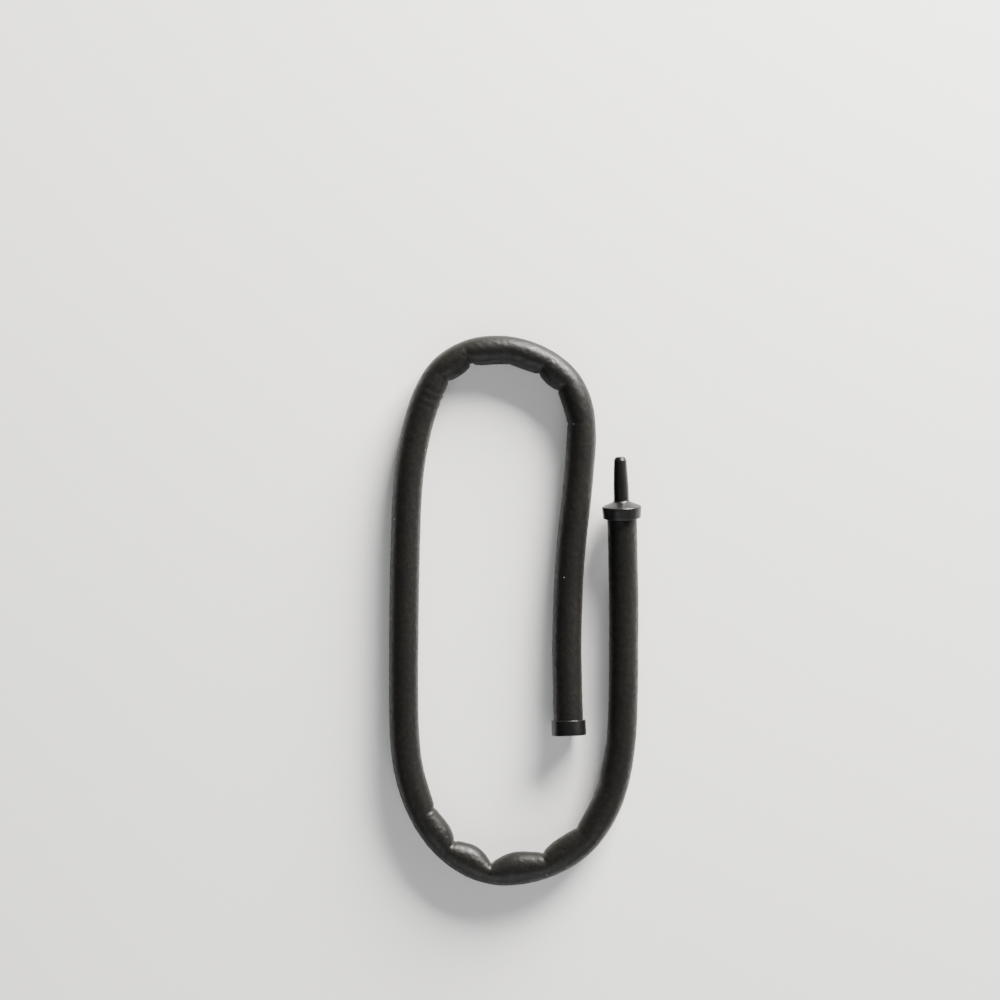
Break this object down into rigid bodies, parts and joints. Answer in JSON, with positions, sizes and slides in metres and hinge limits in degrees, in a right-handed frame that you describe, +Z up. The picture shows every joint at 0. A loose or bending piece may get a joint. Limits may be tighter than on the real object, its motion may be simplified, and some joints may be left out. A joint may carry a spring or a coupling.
{
  "type": "flexible air stone",
  "caption": "Bendable porous black air diffuser tube, folded flat like a paper clip, with a tapered air nipple in a cap at one end and a closed plug at the other.",
  "frame": {"origin": "centre of the bounding box in plan, on the surface that the air stone lies on", "axes": "+Z up, +Y along the long runs towards the end the nipple points to, +X towards the inlet run's side"},
  "size_m": [0.0775, 0.1698, 0.0137],
  "materials": {
    "porous_sleeve": "matte black open-pored foam elastomer, slightly mottled",
    "black_moulding": "satin black moulding with soft edges",
    "soft_wire": "bright drawn soft wire",
    "ballast_steel": "turned stainless steel",
    "crimp_sleeve": "crimped aluminium tube"
  },
  "bodies": {
    "left_run": {"sleeve_left_run": "porous_sleeve", "core_wire_left_run": "soft_wire", "ballast_left_run": "ballast_steel"},
    "bottom_link_7": {"sleeve_bottom_7": "porous_sleeve", "core_wire_bottom_7": "soft_wire", "ballast_bottom_7": "ballast_steel"},
    "bottom_link_6": {"sleeve_bottom_6": "porous_sleeve", "core_wire_bottom_6": "soft_wire", "ballast_bottom_6": "ballast_steel"},
    "bottom_link_5": {"sleeve_bottom_5": "porous_sleeve", "core_wire_bottom_5": "soft_wire", "ballast_bottom_5": "ballast_steel"},
    "bottom_link_4": {"sleeve_bottom_4": "porous_sleeve", "core_wire_bottom_4": "soft_wire", "ballast_bottom_4": "ballast_steel"},
    "bottom_link_3": {"sleeve_bottom_3": "porous_sleeve", "core_wire_bottom_3": "soft_wire", "ballast_bottom_3": "ballast_steel"},
    "bottom_link_2": {"sleeve_bottom_2": "porous_sleeve", "core_wire_bottom_2": "soft_wire", "ballast_bottom_2": "ballast_steel"},
    "bottom_link_1": {"sleeve_bottom_1": "porous_sleeve", "core_wire_bottom_1": "soft_wire", "ballast_bottom_1": "ballast_steel"},
    "inlet_run": {"sleeve_inlet_run": "porous_sleeve", "core_wire_inlet_run": "soft_wire", "ballast_inlet_run": "ballast_steel", "ferrule_inlet_run": "crimp_sleeve", "inlet_connector": "black_moulding"},
    "top_link_1": {"sleeve_top_1": "porous_sleeve", "core_wire_top_1": "soft_wire", "ballast_top_1": "ballast_steel"},
    "top_link_2": {"sleeve_top_2": "porous_sleeve", "core_wire_top_2": "soft_wire", "ballast_top_2": "ballast_steel"},
    "top_link_3": {"sleeve_top_3": "porous_sleeve", "core_wire_top_3": "soft_wire", "ballast_top_3": "ballast_steel"},
    "top_link_4": {"sleeve_top_4": "porous_sleeve", "core_wire_top_4": "soft_wire", "ballast_top_4": "ballast_steel"},
    "top_link_5": {"sleeve_top_5": "porous_sleeve", "core_wire_top_5": "soft_wire", "ballast_top_5": "ballast_steel"},
    "top_link_6": {"sleeve_top_6": "porous_sleeve", "core_wire_top_6": "soft_wire", "ballast_top_6": "ballast_steel"},
    "end_run": {"sleeve_end_run": "porous_sleeve", "core_wire_end_run": "soft_wire", "ballast_end_run": "ballast_steel", "ferrule_end_run": "crimp_sleeve", "end_plug": "black_moulding"}
  },
  "joints": [
    {"name": "bottom_fold_8", "type": "hinge", "parent": "left_run", "child": "bottom_link_7", "pos_m": [-0.0341, -0.0423, 0.0046], "axis": [0, 0, -1], "range_deg": [0, 12.12]},
    {"name": "bottom_fold_7", "type": "hinge", "parent": "bottom_link_7", "child": "bottom_link_6", "pos_m": [-0.0307, -0.0579, 0.0046], "axis": [0, 0, -1], "range_deg": [0, 18.09]},
    {"name": "bottom_fold_6", "type": "hinge", "parent": "bottom_link_6", "child": "bottom_link_5", "pos_m": [-0.0225, -0.0719, 0.0046], "axis": [0, 0, -1], "range_deg": [0, 27.2]},
    {"name": "bottom_fold_5", "type": "hinge", "parent": "bottom_link_5", "child": "bottom_link_4", "pos_m": [-0.0093, -0.0803, 0.0046], "axis": [0, 0, -1], "range_deg": [0, 34.76]},
    {"name": "bottom_fold_4", "type": "hinge", "parent": "bottom_link_4", "child": "bottom_link_3", "pos_m": [0.0057, -0.0797, 0.0046], "axis": [0, 0, -1], "range_deg": [0, 23.66]},
    {"name": "bottom_fold_3", "type": "hinge", "parent": "bottom_link_3", "child": "bottom_link_2", "pos_m": [0.0201, -0.0727, 0.0046], "axis": [0, 0, -1], "range_deg": [0, 30.21]},
    {"name": "bottom_fold_2", "type": "hinge", "parent": "bottom_link_2", "child": "bottom_link_1", "pos_m": [0.0291, -0.0593, 0.0046], "axis": [0, 0, -1], "range_deg": [0, 21.53]},
    {"name": "bottom_fold_1", "type": "hinge", "parent": "bottom_link_1", "child": "inlet_run", "pos_m": [0.0327, -0.0429, 0.0046], "axis": [0, 0, -1], "range_deg": [0, 10.34]},
    {"name": "top_fold_1", "type": "hinge", "parent": "left_run", "child": "top_link_1", "pos_m": [-0.0327, 0.0461, 0.0046], "axis": [0, 0, 1], "range_deg": [-1.44, 0.21]},
    {"name": "top_fold_2", "type": "hinge", "parent": "top_link_1", "child": "top_link_2", "pos_m": [-0.0261, 0.0705, 0.0046], "axis": [0, 0, 1], "range_deg": [-4.02, 0.55]},
    {"name": "top_fold_3", "type": "hinge", "parent": "top_link_2", "child": "top_link_3", "pos_m": [-0.0151, 0.0792, 0.0046], "axis": [0, 0, 1], "range_deg": [-3.71, 0.52]},
    {"name": "top_fold_4", "type": "hinge", "parent": "top_link_3", "child": "top_link_4", "pos_m": [-0.0019, 0.0803, 0.0046], "axis": [0, 0, 1], "range_deg": [-2.69, 0.38]},
    {"name": "top_fold_5", "type": "hinge", "parent": "top_link_4", "child": "top_link_5", "pos_m": [0.0099, 0.0761, 0.0046], "axis": [0, 0, 1], "range_deg": [-2.65, 0.37]},
    {"name": "top_fold_6", "type": "hinge", "parent": "top_link_5", "child": "top_link_6", "pos_m": [0.0179, 0.0685, 0.0046], "axis": [0, 0, 1], "range_deg": [-3.51, 0.49]},
    {"name": "top_fold_7", "type": "hinge", "parent": "top_link_6", "child": "end_run", "pos_m": [0.021, 0.0567, 0.0046], "axis": [0, 0, 1], "range_deg": [-2.17, 0.31]}
  ],
  "couplings": [
    {"joint": "bottom_fold_8", "follows": "bottom_fold_5", "ratio": 0.34781},
    {"joint": "bottom_fold_7", "follows": "bottom_fold_5", "ratio": 0.51962},
    {"joint": "bottom_fold_6", "follows": "bottom_fold_5", "ratio": 0.78162},
    {"joint": "bottom_fold_4", "follows": "bottom_fold_5", "ratio": 0.67989},
    {"joint": "bottom_fold_3", "follows": "bottom_fold_5", "ratio": 0.86843},
    {"joint": "bottom_fold_2", "follows": "bottom_fold_5", "ratio": 0.61867},
    {"joint": "bottom_fold_1", "follows": "bottom_fold_5", "ratio": 0.29661},
    {"joint": "top_fold_1", "follows": "top_fold_2", "ratio": 0.35368},
    {"joint": "top_fold_3", "follows": "top_fold_2", "ratio": 0.91933},
    {"joint": "top_fold_4", "follows": "top_fold_2", "ratio": 0.66686},
    {"joint": "top_fold_5", "follows": "top_fold_2", "ratio": 0.65544},
    {"joint": "top_fold_6", "follows": "top_fold_2", "ratio": 0.86928},
    {"joint": "top_fold_7", "follows": "top_fold_2", "ratio": 0.53738}
  ]
}
